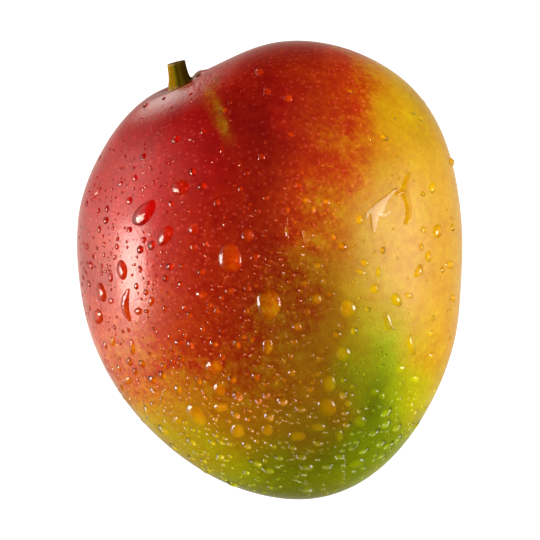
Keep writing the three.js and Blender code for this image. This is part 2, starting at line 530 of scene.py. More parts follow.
def feed(tree, node, values):
    """Sets a node's inputs by name or number. A socket is linked, and anything else is the input's own
    value."""
    for key, value in values.items():
        if hasattr(value, "is_linked"):
            tree.links.new(value, node.inputs[key])
        else:
            node.inputs[key].default_value = value


def new_node(tree, kind, values):
    """A node of this kind with these inputs."""
    node = tree.nodes.new("ShaderNode" + kind)
    feed(tree, node, values)
    return node


def attribute(tree, name):
    """The value of a float attribute of the mesh."""
    node = new_node(tree, "Attribute", {})
    node.attribute_name = name
    return node.outputs["Fac"]


def math_node(tree, operation, *values):
    """One math node on sockets or numbers."""
    node = new_node(tree, "Math", dict(enumerate(values)))
    node.operation = operation
    return node.outputs[0]


def added(tree, first, *others):
    """The sum of sockets or numbers."""
    for other in others:
        first = math_node(tree, "ADD", first, other)
    return first


def multiplied(tree, first, *others):
    """The product of sockets or numbers."""
    for other in others:
        first = math_node(tree, "MULTIPLY", first, other)
    return first


def swing(tree, value, reach):
    """A field from 0 to 1, shifted to swing about 0 and scaled by reach."""
    return multiplied(tree, math_node(tree, "SUBTRACT", value, 0.5), reach)


def mixed(tree, weight, low, high):
    """Two colours mixed by a weight. Each is a socket or a colour."""
    low, high = (value if hasattr(value, "is_linked") else (*value, 1) for value in (low, high))
    node = tree.nodes.new("ShaderNodeMix")
    node.data_type = "RGBA"
    names = {socket.identifier: place for place, socket in enumerate(node.inputs)}
    feed(tree, node, {names["Factor_Float"]: weight, names["A_Color"]: low, names["B_Color"]: high})
    return {socket.identifier: socket for socket in node.outputs}["Result_Color"]


def either(tree, choice, first, second):
    """The first shader where choice is 0, the second where it is 1."""
    return new_node(tree, "MixShader", {0: choice, 1: first, 2: second}).outputs[0]


def ray_is(tree, *kinds):
    """1 where a ray is of one of these kinds."""
    path = new_node(tree, "LightPath", {})
    choice, *others = (path.outputs[f"Is {kind} Ray"] for kind in kinds)
    for other in others:
        choice = math_node(tree, "MAXIMUM", choice, other)
    return choice


def height_of(tree, vector):
    """The Z of a vector."""
    return new_node(tree, "SeparateXYZ", {0: vector}).outputs[2]


def bumped(tree, bsdf, relief, depth):
    """Tilts the shader's normals by a relief from 0 to 1 that is this deep in metres."""
    bump = new_node(tree, "Bump", {"Height": relief, "Distance": depth})
    feed(tree, bsdf, {"Normal": bump.outputs["Normal"]})


def noise(tree, size, detail=2.0, roughness=0.5):
    """Noise from 0 to 1 on Object coordinates, with features of about this size in metres."""
    values = {"Vector": coordinates(tree), "Scale": 1 / size, "Detail": detail, "Roughness": roughness}
    return new_node(tree, "TexNoise", values).outputs["Fac"]


def coordinates(tree):
    """The Object coordinates, from one shared node."""
    node = tree.nodes.get("coordinates")
    if node is None:
        node = tree.nodes.new("ShaderNodeTexCoord")
        node.name = "coordinates"
    return node.outputs["Object"]


def ranged(tree, value, low, high, to_low=0.0, to_high=1.0):
    """value mapped from low..high to to_low..to_high with a smooth step."""
    values = {"Value": value, "From Min": low, "From Max": high, "To Min": to_low, "To Max": to_high}
    node = new_node(tree, "MapRange", values)
    node.interpolation_type = "SMOOTHSTEP"
    return node.outputs["Result"]


def dots(tree, spacing, radius, soft):
    """Round spots of 0 to 1 scattered about this far apart, of this radius, with a soft rim, in metres."""
    cells = new_node(tree, "TexVoronoi", {"Vector": coordinates(tree), "Scale": 1 / spacing})
    away = multiplied(tree, cells.outputs["Distance"], spacing)
    return ranged(tree, away, radius - soft, radius + soft, 1.0, 0.0)


def ramp(tree, value, stops):
    """The colour at value along stops of place and colour."""
    node = new_node(tree, "ValToRGB", {"Fac": value})
    elements = node.color_ramp.elements
    while len(elements) < len(stops):
        elements.new(0.5)
    for element, (place, colour) in zip(elements, stops):
        element.position = place
        element.color = (*colour, 1)
    return node.outputs["Color"]


LENTICEL_COLOUR = (1.0, 0.50, 0.35)
LIP_COLOUR = (0.56, 0.30, 0.18)
# near black, for the painted shade in the pit and the cup
PAINTED_SHADE_COLOUR = (0.05, 0.006, 0.004)
FIBRE_COLOUR = (0.05, 0.028, 0.003)
CUT_COLOUR = (0.16, 0.085, 0.03)
SKIN_GLOSS = 0.52


def skin_colour(tree, skin, glow=1.0):
    """The skin's colour and its relief. Ripeness from the mesh, broken by clouds, mottling and grain, picks a
    colour between blush and green. Pale lenticels lie over it, and lightness from the mesh scales it, times
    glow, painted light that is 1 on dry skin and brightens the skin under water."""
    clouds = noise(tree, 0.0060, 2.0)
    mottle = noise(tree, 0.0021, 3.0, 0.6)
    grain = noise(tree, 0.0007, 1.0)
    lenticels = dots(tree, 0.0016, 0.00037, 0.00026)
    ripe = attribute(tree, "ripeness")
    blushed = ranged(tree, ripe, 0.60, 0.35)
    deep = ranged(tree, ripe, -0.02, 0.36, 0.14, 1.0)
    shift = added(tree, swing(tree, clouds, 0.38), swing(tree, mottle, 0.66), swing(tree, grain, 0.16))
    ripe = added(tree, ripe, multiplied(tree, shift, ranged(tree, blushed, 0, 1, 0.25, 0.9), deep))
    colour = ramp(tree, ripe, [
        (0.0, skin.blush), (0.25, skin.vermilion), (0.45, skin.orange),
        (0.63, skin.gold), (0.8, skin.lime), (1.0, skin.green),
    ])
    freckles = multiplied(tree, lenticels, ranged(tree, blushed, 0, 1, 0.25, 1.0))
    colour = mixed(tree, multiplied(tree, freckles, 0.055), colour, LENTICEL_COLOUR)
    tone = added(tree, swing(tree, mottle, 0.50), swing(tree, clouds, 0.35), swing(tree, grain, 0.30))
    tone = multiplied(tree, tone, ranged(tree, ripe, 0.40, 0.65, 1.0, 0.45))
    tone = added(tree, tone, ranged(tree, blushed, 0, 1, 0.98, 0.94), multiplied(tree, freckles, 0.30))
    light = multiplied(tree, attribute(tree, "lightness"), tone, glow)
    scaled = tree.nodes.new("ShaderNodeVectorMath")
    scaled.operation = "SCALE"
    feed(tree, scaled, {0: colour, "Scale": light})
    return scaled.outputs["Vector"], added(tree, mottle, multiplied(tree, grain, 0.8))


def bloom_on_top(tree, gloss):
    """The gloss, less what the waxy bloom takes away where skin that faces up is seen nearly edge on."""
    edge_on = ranged(tree, new_node(tree, "LayerWeight", {"Blend": 0.5}).outputs["Facing"], 0.5, 0.74)
    upward = ranged(tree, height_of(tree, new_node(tree, "NewGeometry", {}).outputs["Normal"]), 0.5, 0.7)
    return math_node(tree, "MULTIPLY_ADD", multiplied(tree, edge_on, upward), -gloss, gloss)


def skin_material(skin):
    """The dry skin: a waxy gloss, a little softer on the golden side, over the colour, with cork and
    painted shade in a pit beside the stalk and in the cup."""
    material, tree, bsdf = new_material("skin")
    colour, relief = skin_colour(tree, skin)
    colour = mixed(tree, attribute(tree, "cork"), colour, LIP_COLOUR)
    # painted shade in the pit and the cup
    colour = mixed(tree, attribute(tree, "pit"), colour, PAINTED_SHADE_COLOUR)
    feed(tree, bsdf, {"Base Color": colour, "Roughness": attribute(tree, "roughness")})
    bsdf.inputs["Specular IOR Level"].default_value = SKIN_GLOSS
    feed(tree, bsdf, {"Specular IOR Level": bloom_on_top(tree, SKIN_GLOSS)})
    bumped(tree, bsdf, relief, 0.00006)
    return material


def wet_skin_material(skin):
    """The skin seen inside a drop: the same colour with no gloss of its own, and painted light: the glow
    makes its colour brighter where the drop would gather light."""
    material, tree, bsdf = new_material("wet_skin")
    colour, _ = skin_colour(tree, skin, attribute(tree, "glow"))
    feed(tree, bsdf, {"Base Color": colour, "Specular IOR Level": 0, "Roughness": 1})
    return material


def water_material(name, bending, gloss, roughness):
    """Clear water. Light on its way to the skin below goes straight through; what the eye sees is bent by
    it."""
    material, tree, bsdf = new_material(name)
    feed(tree, bsdf, {
        "Base Color": (1, 1, 1, 1), "Roughness": roughness, "IOR": bending, "Specular IOR Level": gloss,
        "Transmission Weight": 1,
    })
    clear = new_node(tree, "BsdfTransparent", {}).outputs[0]
    shown = either(tree, ray_is(tree, "Shadow", "Diffuse"), bsdf.outputs[0], clear)
    feed(tree, tree.nodes["Material Output"], {"Surface": shown})
    return material


def stalk_material(stalk):
    """Bark with long fibres: ochre on the flank towards -X and the left lamps, green-brown on the rest, cork
    at the collar and the rim, and a brown cut. Lighter on that flank and darker on the far one: partly the
    bark's own colours, partly painted light and shade."""
    material, tree, bsdf = new_material("stalk_bark")
    fibres = noise(tree, 0.0005, 3.0, 0.65)
    blots = noise(tree, 0.0016, 2.0)
    # the flank mask lightens the side towards the left lamps: partly painted light
    side = added(tree, attribute(tree, "flank"), math_node(tree, "SUBTRACT", blots, 0.5))
    colour = mixed(tree, ranged(tree, side, 0.05, 0.45), stalk.bark, stalk.olive)
    colour = mixed(tree, ranged(tree, side, 0.50, 0.85), colour, stalk.ochre)
    colour = mixed(tree, ranged(tree, fibres, 0.45, 0.65, 0.0, 0.5), colour, FIBRE_COLOUR)
    corky = multiplied(tree, attribute(tree, "cork"), ranged(tree, blots, 0.3, 0.6, 0.4, 1.0))
    colour = mixed(tree, corky, colour, stalk.cork)
    colour = mixed(tree, attribute(tree, "cut"), colour, CUT_COLOUR)
    feed(tree, bsdf, {"Base Color": colour, "Specular IOR Level": 0.02, "Roughness": 0.7})
    bumped(tree, bsdf, fibres, 0.00008)
    return material


def floor_material():
    """A pale floor. The camera sees it nearly white, it throws only a little light up at the fruit, and
    reflections look through it at the sky's glow."""
    paint, own_light, thrown_up = (0.9, 0.9, 0.9, 1), 0.6, (0.28, 0.28, 0.28, 1)
    material, tree, bsdf = new_material("floor")
    feed(tree, bsdf, {
        "Base Color": paint, "Roughness": 1, "Specular IOR Level": 0,
        "Emission Color": (1, 1, 1, 1), "Emission Strength": own_light,
    })
    grey = new_node(tree, "BsdfDiffuse", {"Color": thrown_up}).outputs[0]
    seen = either(tree, ray_is(tree, "Camera"), grey, bsdf.outputs[0])
    clear = new_node(tree, "BsdfTransparent", {}).outputs[0]
    shown = either(tree, ray_is(tree, "Glossy"), seen, clear)
    feed(tree, tree.nodes["Material Output"], {"Surface": shown})
    return material


# ---------------------------------------------------------------- the fruit


def make_fruit(fruit, skin):
    """The skin: rings of points round the stalk's cup, gathered there, each at skin_point of its
    direction."""
    gathering = 0.38
    polar = np.linspace(0, math.pi, fruit.rings + 2)[1:-1]
    polar = polar * (1 - gathering + gathering * polar / math.pi)
    turn = whole_turn(fruit.around)
    ring = np.cos(turn)[:, None] * CUP_SIDE + np.sin(turn)[:, None] * CUP_FRONT
    n = np.cos(polar)[:, None, None] * CUP_AXIS + np.sin(polar)[:, None, None] * ring
    n = np.concatenate([[CUP_AXIS], n.reshape(-1, 3), [-CUP_AXIS]])
    points = skin_point(fruit, n)
    fields = skin_fields(fruit, n, points)
    obj = new_mesh("mango_skin", points, ball_faces(fruit.rings, fruit.around), [skin_material(skin)], fields)
    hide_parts("fruit")


# ---------------------------------------------------------------- the stalk


def make_stalk(fruit, stalk):
    """A stub that leaves the cup along its axis and soon bends aside. Each ring is a circle with shallow
    ribs, wide at the collar and drawn in above it. The cut end is a rounded rim round a low rough disc."""
    rings, around = 64, 96
    sink = 0.0008  # how deep the root goes under the skin
    wall_end = 0.78  # share of the rings that make the wall
    s = np.linspace(0, 1, rings)
    wall = np.clip(s / wall_end, 0, 1)
    inward = np.clip((s - wall_end) / (1 - wall_end), 0, 1)
    height = -sink + (stalk.length + sink) * wall
    collar = 0.0007 * bell(height / 0.00065) + 0.0004 * bell((height - 0.0012) / 0.0009)
    taper = (stalk.top_radius - stalk.root_radius) * smooth(height, 0, stalk.length)
    radius = stalk.root_radius + taper + collar
    radius = radius * np.where(s > wall_end, np.cos(inward * math.pi / 2) ** 0.55, 1)
    rounding, dip = 0.00035, 0.0003  # of the rim round the cut
    lift = np.where(s > wall_end, rounding * np.sin(inward * math.pi / 2) - dip * inward**2, 0)
    turn = whole_turn(around)
    ribs = 0.035 * np.cos(5 * turn + 0.6) + 0.02 * np.cos(9 * turn + 1.9)
    h, t = np.meshgrid(height, turn, indexing="ij")
    lumps = 0.03 * waves(np.stack([np.cos(t) * 0.0025, np.sin(t) * 0.0025, h * 0.45], -1), 0.0022, 31)
    shape = 1 + (ribs[None] + lumps) * (1 - 0.6 * smooth(s, 0.8, 1.0))[:, None]
    across = radius[:, None] * shape
    bend = stalk.bend * smooth(height, -sink, 0.35 * stalk.length)
    up = CUP_AXIS * np.cos(bend)[:, None] + CUP_SIDE * np.sin(bend)[:, None]
    out = CUP_SIDE * np.cos(bend)[:, None] - CUP_AXIS * np.sin(bend)[:, None]
    steps = np.diff(height, prepend=height[0])
    root = skin_point(fruit, CUP_AXIS[None])[0]
    middle = root - sink * CUP_AXIS + np.cumsum(steps[:, None] * up, axis=0) + up * lift[:, None]
    points = middle[:, None] + across[..., None] * (
        np.cos(turn)[None, :, None] * out[:, None] + np.sin(turn)[None, :, None] * CUP_FRONT
    )
    slant = 0.00012 * smooth(h, 0.3 * stalk.length, stalk.length) * np.cos(t)
    points = points + slant[..., None] * up[:, None]
    rough = 0.00012 * waves(points[-1:], 0.0012, 33)
    points[-1:] = points[-1:] + rough[..., None] * up[-1]
    # flank is 1 on the side towards -X and the left lamps, where the colours and the cork are made lighter:
    # partly painted light
    flank = smooth(-(points - middle[:, None]) @ np.array([1.0, 0, 0]), -0.0002, 0.0018)
    cork_of_rim = 0.8 * smooth(s, 0.72, 0.78)[:, None] * (1 - smooth(s, 0.80, 0.86))[:, None]
    cork = np.clip(bell(h / 0.0008) + cork_of_rim, 0, 1) * (0.15 + 0.5 * flank)
    fields = {"flank": flank, "cork": cork, "cut": smooth(s, 0.84, 0.9)[:, None] + 0 * t}
    tip = middle[-1] + slant[-1].mean() * up[-1]
    points = np.concatenate([middle[:1], points.reshape(-1, 3), [tip]])
    fields = {key: np.pad(values.reshape(-1), 1, "edge") for key, values in fields.items()}
    faces = [group[:, ::-1] for group in ball_faces(rings, around)]
    obj = new_mesh("mango_stalk", points, faces, [stalk_material(stalk)], fields)
    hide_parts("stalk")


# ---------------------------------------------------------------- water

# Drops that are placed one by one: x, y, width, length in mm seen from above, and, where they aren't 0, the
# turn of the length from +Y in degrees, the taper and the bend.

LARGE_DROPS = [
    # on the blushed side
    (-22.7, 20.6, 4.6, 3.8), (-31.9, 14.3, 4.2, 8.0, -40, 0.1), (-26.4, 8.5, 3.4, 5.5, -32),
    (-37.7, -0.1, 2.7, 5.1, 5), (-43.4, -5.9, 2.4, 5.1, 12), (-36.7, -9.1, 2.2, 8.4, 2, 0.0, 1.0),
    (-40.8, -2.0, 1.4, 2.4), (-40.8, -8.0, 1.6, 1.6), (-35.8, 17.5, 1.6, 2.1, -20),
    (-35.8, 10.1, 1.6, 1.6), (-30.1, -8.0, 1.7, 2.4), (-44.5, -12.2, 2.6, 3.9), (-33.5, -10.6, 2.1, 1.9),
    (-40.6, -18.5, 1.6, 2.6), (-35.3, -19.8, 1.6, 4.2, 6, 0.2), (-37.1, -28.7, 2.4, 2.4),
    (-46.5, 1.2, 1.6, 2.4, 30), (-34.5, 23.3, 1.6, 1.7), (-32.0, 7.5, 1.6, 1.6), (-47.4, 5.9, 1.4, 1.7),
    (-19.3, 10.1, 2.7, 2.7), (-19.2, 5.6, 2.2, 1.9), (-17.3, -6.2, 3.1, 2.0),
    # on the crown
    (-2.9, 50.3, 2.3, 2.0), (-0.9, 45.0, 2.2, 2.0), (4.4, 43.2, 2.4, 2.0),
    # in the middle
    (-10.2, 2.9, 5.9, 7.6, 0, 0.05), (-5.7, 8.5, 3.1, 3.5), (-10.2, -5.4, 2.7, 1.9),
    (-0.5, -8.9, 6.0, 8.0, 0, -0.25), (-0.8, -19.4, 2.6, 4.4), (6.6, -14.4, 2.7, 2.2),
    (11.4, -7.4, 3.1, 2.7, 20), (19.6, -9.8, 4.4, 4.4), (9.2, -10.6, 1.6, 1.8),
    (22.4, 12.6, 1.9, 2.6, -10), (15.6, 8.0, 1.5, 1.5), (4.2, 14.9, 1.2, 1.9), (10.7, 14.9, 1.2, 2.0),
    # towards the nose
    (-14.3, -24.5, 4.7, 3.7), (-13.0, -30.3, 3.4, 3.4), (-12.7, -35.0, 3.7, 2.6),
    (-19.0, -37.1, 3.7, 6.6, 35), (-8.5, -41.1, 3.7, 3.7), (-0.9, -40.8, 3.1, 3.1),
    (-24.0, -38.7, 2.6, 2.1), (14.6, -28.7, 4.2, 4.2), (14.3, -34.8, 5.2, 4.7, -20),
    (23.0, -38.7, 3.1, 3.1), (33.2, -25.3, 2.4, 2.4), (37.1, -28.0, 2.1, 2.1), (26.6, -31.1, 2.4, 2.1),
    (28.5, -32.2, 1.7, 1.7), (19.8, -34.0, 1.9, 1.9), (17.5, -42.4, 2.1, 3.1), (22.4, -49.7, 4.2, 2.1, 20),
    (6.7, -42.4, 4.7, 2.6), (11.9, -40.0, 4.2, 2.1), (18.5, -21.1, 3.7, 3.7),
    # on the golden side
    (35.8, -19.3, 2.1, 5.2, 15, 0.0, 0.3), (41.1, -16.4, 1.8, 1.8), (41.4, -22.2, 2.1, 2.1),
    (31.8, -7.7, 2.6, 3.6, 20), (26.2, -4.8, 2.6, 2.3, 20), (29.5, -13.3, 2.0, 4.4, 0, 0.0, -0.4),
    (46.1, 27.4, 2.2, 2.4), (42.7, 9.8, 2.6, 3.5), (38.9, 10.1, 1.6, 1.6), (41.4, 20.9, 2.0, 2.8),
    (38.3, 5.7, 1.3, 1.8), (40.2, 3.3, 1.9, 2.6, -10), (37.6, -0.4, 2.0, 3.6, -25, 0.0, -0.3),
    (46.3, 1.2, 2.6, 2.1), (35.1, -6.6, 2.1, 1.5, -25), (23.7, 1.7, 2.2, 1.6, -25),
    (22.7, -0.7, 3.0, 1.3, -20), (27.2, -0.7, 1.5, 2.6), (47.2, -7.4, 1.8, 2.0),
]

RUNS = {  # height in mm, raggedness, glow (painted light on the skin under the water), then the path seen from above: x, y, width in mm
    "hook of the golden side": (0.7, 0.04, 0.96, [
        (35.2, 24.6, 1.3), (34.4, 22.6, 1.3), (33.7, 20.2, 2.0), (34.3, 18.0, 1.7), (34.9, 15.5, 1.4),
        (35.0, 13.2, 1.3), (34.0, 11.2, 1.3),
    ]),
    "branch of the hook": (0.55, 0.04, 0.96, [(33.8, 19.8, 1.4), (32.6, 19.2, 1.2), (31.4, 19.0, 1.0)]),
    "curved drop": (0.9, 0.06, 0.9, [
        (28.8, -10.8, 1.5), (29.4, -12.4, 1.8), (29.8, -14.0, 1.8), (31.0, -15.0, 1.4),
    ]),
    "chain in the middle": (0.35, 0.25, 1.05, [(4.2, 13.0, 0.6), (4.0, 10.5, 0.8), (4.3, 7.2, 0.6)]),
    "curved streak in the middle": (0.5, 0.12, 1.1, [(8.2, 9.9, 0.8), (8.4, 8.0, 1.0), (9.4, 5.6, 0.8)]),
    "streak on the shoulder": (0.45, 0.05, 1.0, [(-43.8, 20.8, 0.6), (-44.6, 19.6, 0.9), (-45.5, 18.2, 0.6)]),
}
FILMS = {  # the same
    "splash": (0.15, 0.26, 0.9, [
        (32.2, 20.5, 1.0), (29.8, 18.4, 1.6), (27.8, 16.6, 2.0), (26.6, 14.4, 2.7), (26.0, 11.8, 2.0),
        (26.0, 9.0, 1.1),
    ]),
    "splash's arm": (0.13, 0.2, 0.9, [(26.4, 14.2, 1.6), (28.6, 13.6, 1.6), (30.2, 14.8, 1.0)]),
    "splash's foot": (0.12, 0.2, 0.9, [(25.6, 15.4, 1.0), (24.4, 14.0, 1.2), (24.0, 12.6, 0.8)]),
}

DAMP_GROUND = 0.14
DAMP_STROKES = {  # how thickly the scattered drops lie, 0 to 1
    "crown": (0.05, 0, 45, 30, 14, 0, 0.8, 0.9),
    "back shoulder": (0.05, 34, 35, 22, 26, 0, 0.8, 1),
    "golden side": (0.08, 38, 2, 16, 32, 0, 0.8, 0.9),
    "belly": (0.70, -36, 0, 12, 24, 0, 0.8, 0.9),
    "middle": (0.50, -8, -2, 20, 22, 0, 0.8, 0.9),
    "foot": (1.0, -4, -38, 36, 15, 0, 0.8, 1),
}
LARGE_TEMPLATE = (14, 40, 8)  # rings of the dome, points round it, rings of the base
SCATTERED = {  # least and greatest radius, power that favours small ones, gap, template, wobble of the rim
    "small_drops": (0.00045, 0.0012, 2.6, 0.0004, (4, 12, 1), 0.16),
    "fine_drops": (0.00017, 0.00045, 1.8, 0.0001, (3, 8, 1), 0.08),
}
DRY_ROUND_STALK = 10  # degrees from the cup's axis, within which no drop is scattered
STEEP_SKIN = 0.33  # the normal's Z, near and below which scattered drops are rare
WATER_LIFT = 0.00001  # how far the underside of the water is over the skin
DROP_RIM_ANGLE = 1.08  # at which a small drop's cap ends, in radians


def on_foot(points):
    """0 over most of the fruit and 1 on its green foot."""
    return smooth(-points[:, 1] / MM, 22, 40)


def scattered(fruit, tries, seed, low, high, power, taken, apart):
    """Places and radii of scattered drops. Random directions are kept by the dampness there, and seldom on
    steep skin. Small radii are the more likely, and a drop that would touch one that is already there is
    left out."""
    rng = np.random.default_rng(seed)
    n = unit(rng.normal(size=(tries, 3)))
    radius = low + (high - low) * rng.random(tries) ** power
    points = skin_point(fruit, n)
    chance = stroked(np.full(tries, DAMP_GROUND), DAMP_STROKES, points[:, 0] / MM, points[:, 1] / MM)
    level = 1 - bell(skin_normal(fruit, n)[:, 2] / STEEP_SKIN)
    upper = 0.45 + 0.55 * smooth(n[:, 2], -0.3, 0.3)
    chance = chance * upper * smooth(points[:, 2], 0.006, 0.02) * level
    keep = (rng.random(tries) < chance) & (angle_between(n, CUP_AXIS) > DRY_ROUND_STALK)
    n, radius, points = n[keep], radius[keep], points[keep]
    radius = radius * (1 + 0.5 * on_foot(points))
    order = np.argsort(-radius)
    n, radius, points = n[order], radius[order], points[order]
    places, reaches = taken
    gap = np.linalg.norm(points[:, None] - places[None], axis=-1)
    far = (gap > radius[:, None] + reaches[None] + apart).all(1)
    n, radius, points = n[far], radius[far], points[far]
    gap = np.linalg.norm(points[:, None] - points[None], axis=-1)
    crowd = (gap < radius[:, None] + radius[None] + apart) & np.tri(len(n), k=-1, dtype=bool)
    free = ~crowd.any(1)
    return n[free], radius[free], points[free]


def drop_template(rings, around, base_rings):
    """Shares of radius and turns of a drop's points: the dome's top, its rings to the rim, the base's rings
    inwards and its middle. The dome's rings gather at the rim. Returns also the faces of dome and base."""
    dome = np.sin(np.arange(1, rings + 1) / rings * math.pi / 2)
    base = np.linspace(1, 0, base_rings + 1)[1:-1]
    shares = np.concatenate([[0], np.repeat(np.concatenate([dome, base]), around), [0]])
    turns = np.concatenate([[0], np.tile(whole_turn(around), rings + len(base)), [0]])
    on_dome = np.arange(len(shares)) < 1 + rings * around
    top, quads, end = (group[:, ::-1] for group in ball_faces(rings + len(base), around))
    rim = (rings - 1) * around
    return shares, turns, on_dome, [top, quads[:rim], quads[rim:], end]


def flattened_cap(share, fullness):
    """Height of a flattened cap at a share of its half width: a power of one less a power of the share."""
    return (1 - share**fullness) ** 0.6


def cap(shares, heights):
    """Height of drops at shares of their radius: a round cap where a drop is small, and a flattened one
    where it is large."""
    flattened = flattened_cap(shares, 2.3)
    edge = math.cos(DROP_RIM_ANGLE)
    rounded = (np.sqrt(1 - (shares * math.sin(DROP_RIM_ANGLE)) ** 2) - edge) / (1 - edge)
    large = smooth(heights, 0.0006, 0.0011)[:, None]
    return (rounded[None] * (1 - large) + flattened[None] * large) * heights[:, None]


def wet_fields(fruit, toward, under, middle, target, across, shares):
    """Fields of the skin inside drops. Its glow, painted light for the light a drop gathers, is a level that
    goes with the drop's place, more in the middle than at the rim, and more on the side away from the light.
    Its ripeness is raised a little."""
    fields = skin_fields(fruit, toward, under)
    # under a drop the painted rim light is taken off the lightness again
    ripe, light = fields["ripeness"], fields["lightness"] / (1 + painted_rim_light(toward))
    place = middle[:, None, 0] / MM
    key = np.where(place < 18, 1.0, -1.0)  # the side from which the light comes, 1 for the left
    foot = smooth(-middle[:, None, 1] / MM, 20, 38)
    level = 0.82 + 0.46 * smooth(place, -34, -8) - 0.30 * smooth(place, 12, 32) * (1 - foot) + 0.06 * foot
    width = np.maximum(np.linalg.norm(across, axis=-1), 1e-6)[:, None]
    beyond = (target - middle[:, None])[..., 0] / width * key
    # glow: painted light, brighter in the middle and on the side away from the lamp
    glow = level * (0.80 + 0.4 * (1 - shares[None] ** 2)) * (1 + (0.28 + 0.07 * key - 0.1 * foot) * beyond)
    unripe = 1 - smooth(ripe, 0.3, 0.5)
    ripe = ripe + 0.10 * smooth(place, -28, -8) * unripe * (1 - shares[None] ** 4)
    return {"ripeness": ripe, "lightness": light, "glow": glow}


def drops(name, fruit, n, across, along, heights, taper, bend, seed, template, wobble, materials):
    """Drops of water on the skin. Each drop's plan is a disc stretched over its two axes, with a wavy rim, a
    taper and a bend; its height falls from the middle to a steep rim. The base lies just over the skin."""
    shares, turns, on_dome, faces = drop_template(*template)
    rng = np.random.default_rng(seed)
    count = len(n)
    phase = rng.uniform(0, 2 * math.pi, (3, count, 1))
    size = rng.uniform(0.3, 1.0, (3, count, 1)) * wobble
    rim = 1 + sum(size[i] * np.cos(k * turns[None] + phase[i]) / k for i, k in enumerate((2, 3, 5)))
    u = shares[None] * np.cos(turns)[None] * rim
    v = shares[None] * np.sin(turns)[None] * rim
    u = u * (1 - taper[:, None] * v) + bend[:, None] * (v * v - 0.3)
    middle = skin_point(fruit, n)
    target = middle[:, None] + u[..., None] * across[:, None] + v[..., None] * along[:, None]
    toward = unit(target - centre_of(fruit))
    under = skin_point(fruit, toward)
    height = WATER_LIFT + np.where(on_dome, cap(shares, heights), 0)
    points = under + height[..., None] * skin_normal(fruit, n)[:, None]
    fields = wet_fields(fruit, toward, under, middle, target, across, shares)
    offsets = (np.arange(count) * len(shares))[:, None, None]
    groups = [(group[None] + offsets).reshape(-1, group.shape[1]) for group in faces]
    obj = new_mesh(name, points, groups, materials, fields, pick=[0, 0, 1, 1])


def swept_faces(stations, around):
    """Faces of a closed skin swept along stations: those of the dome half of each ring, then those of its
    base."""
    top, quads, end = ball_faces(stations, around)
    quads = quads.reshape(stations - 1, around, 4)
    half = around // 2
    dome = [top[:half], quads[:, :half].reshape(-1, 4), end[:half]]
    base = [top[half:], quads[:, half:].reshape(-1, 4), end[half:]]
    return dome + base


def run_of_water(fruit, height, ragged, glow, path, seed):
    """Points, fields and faces of one run of water: a ridge swept along a smoothed path seen from above,
    whose width goes from one value to the next, with ragged sides and round ends. Across, it is as flat on
    top and steep at the rim as a drop."""
    stations, across = 72, 20
    longest_lump = 0.0042  # of the ragged sides, in metres for a radian
    rng = np.random.default_rng(seed)
    x, y, width = np.array(path).T * MM
    along = np.concatenate([[0], np.cumsum(np.hypot(np.diff(x), np.diff(y)))])
    s = (np.arange(stations) + 0.5) / stations * along[-1]
    window = np.hanning(13)[1:-1]
    window = window / window.sum()
    pad = len(window) // 2
    x, y, width = (
        np.convolve(np.pad(np.interp(s, along, values), pad, "reflect", reflect_type="odd"), window, "valid")
        for values in (x, y, width)
    )
    slope = np.gradient(np.stack([x, y], -1), axis=0)
    slope = slope / np.linalg.norm(slope, axis=-1, keepdims=True)
    aside = np.stack([-slope[:, 1], slope[:, 0]], -1)
    half = 0.5 * width * np.sqrt(np.clip(1 - (2 * s / along[-1] - 1) ** 8, 0.0, 1))
    turn = (np.arange(2 * across) + 0.5) / across * math.pi
    v = np.cos(turn)
    sides = []
    for _ in range(2):
        phase = rng.uniform(0, 2 * math.pi, 4)
        lumps = sum(np.sin(s / (longest_lump / (k + 1)) + phase[k]) / (1 + 0.5 * k) for k in range(4))
        sides.append((1 + ragged * lumps)[:, None])
    wide = half[:, None] * np.where(v > 0, *sides)
    place = np.stack([x, y], -1)[:, None] + (wide * v)[..., None] * aside[:, None]
    place = np.concatenate([[place[0].mean(0)], place.reshape(-1, 2), [place[-1].mean(0)]])
    rise = flattened_cap(np.abs(v), 2.6)[None] * (turn < math.pi)[None]
    rise = rise * (height * MM) * np.clip(half / (0.35 * half.max()), 0, 1)[:, None] ** 0.7
    rise = np.concatenate([[0], rise.reshape(-1), [0]])
    n = above(fruit, place[:, 0], place[:, 1])
    under = skin_point(fruit, n)
    points = under + (WATER_LIFT + rise)[:, None] * skin_normal(fruit, n)
    fields = skin_fields(fruit, n, under)
    ripe = fields["ripeness"] + 0.1 - 0.13 * smooth(fields["ripeness"], 0.3, 0.5)
    # the run's glow is painted light on the skin under it
    fields = {"ripeness": ripe, "lightness": fields["lightness"], "glow": np.full(len(points), glow)}
    return points, fields, swept_faces(stations, 2 * across)


def make_runs(fruit):
    """The runs of water and the thin films beside them. A film is clear and glossier than a drop, like a
    varnish."""
    film = water_material("water_film", bending=1.55, gloss=1, roughness=0.2)
    for name, table, material in (("runs", RUNS, bpy.data.materials["water"]), ("films", FILMS, film)):
        runs = [run_of_water(fruit, *run, seed) for seed, run in enumerate(table.values(), len(name))]
        all_points, all_fields, all_faces = zip(*runs)
        starts = np.cumsum([0, *map(len, all_points)])
        fields = {key: np.concatenate([f[key] for f in all_fields]) for key in all_fields[0]}
        groups = [
            np.concatenate([faces + start for faces, start in zip(group, starts)])
            for group in zip(*all_faces)
        ]
        materials = [material, bpy.data.materials["wet_skin"]]
        obj = new_mesh(name, np.concatenate(all_points), groups, materials, fields, [0, 0, 0, 1, 1, 1])


def cap_height(water, radius):
    """How high a drop of this radius stands: less steep the larger it is."""
    lost = 0.14
    return radius * water.steepness / (1 + lost * radius / water.flattening)


